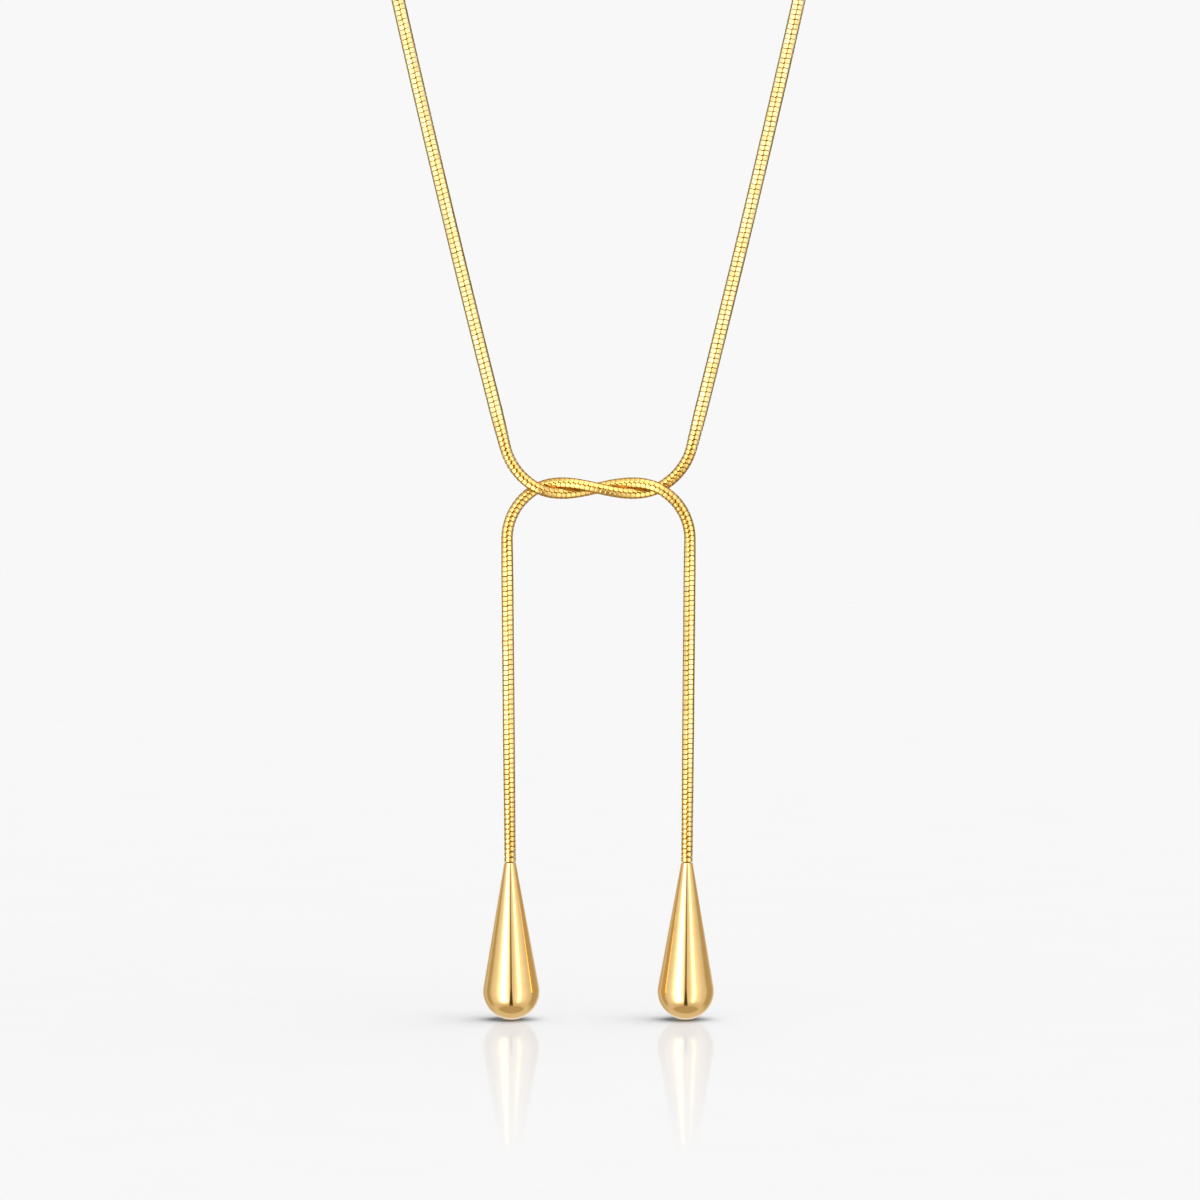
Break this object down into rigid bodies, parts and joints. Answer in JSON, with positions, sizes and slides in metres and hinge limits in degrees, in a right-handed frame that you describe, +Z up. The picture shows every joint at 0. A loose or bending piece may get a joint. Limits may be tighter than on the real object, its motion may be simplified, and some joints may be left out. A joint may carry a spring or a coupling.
{
  "type": "lariat necklace",
  "caption": "Open lariat necklace of gold-plated snake chain: its ends wind round each other below the throat and hang as tails, each with a long polished teardrop.",
  "frame": {"origin": "middle of the chain at the nape, where the necklace hangs on the neck", "axes": "+Z up, the front with the twist and the drops faces -Y, +X to the right as seen from the front"},
  "size_m": [0.114, 0.1105, 0.2992],
  "materials": {
    "chain": "polished gold plate over small domed links",
    "drop": "mirror-polished gold plate"
  },
  "bodies": {
    "root": {"chain": "chain", "left_drop": "drop", "right_drop": "drop"}
  },
  "joints": []
}
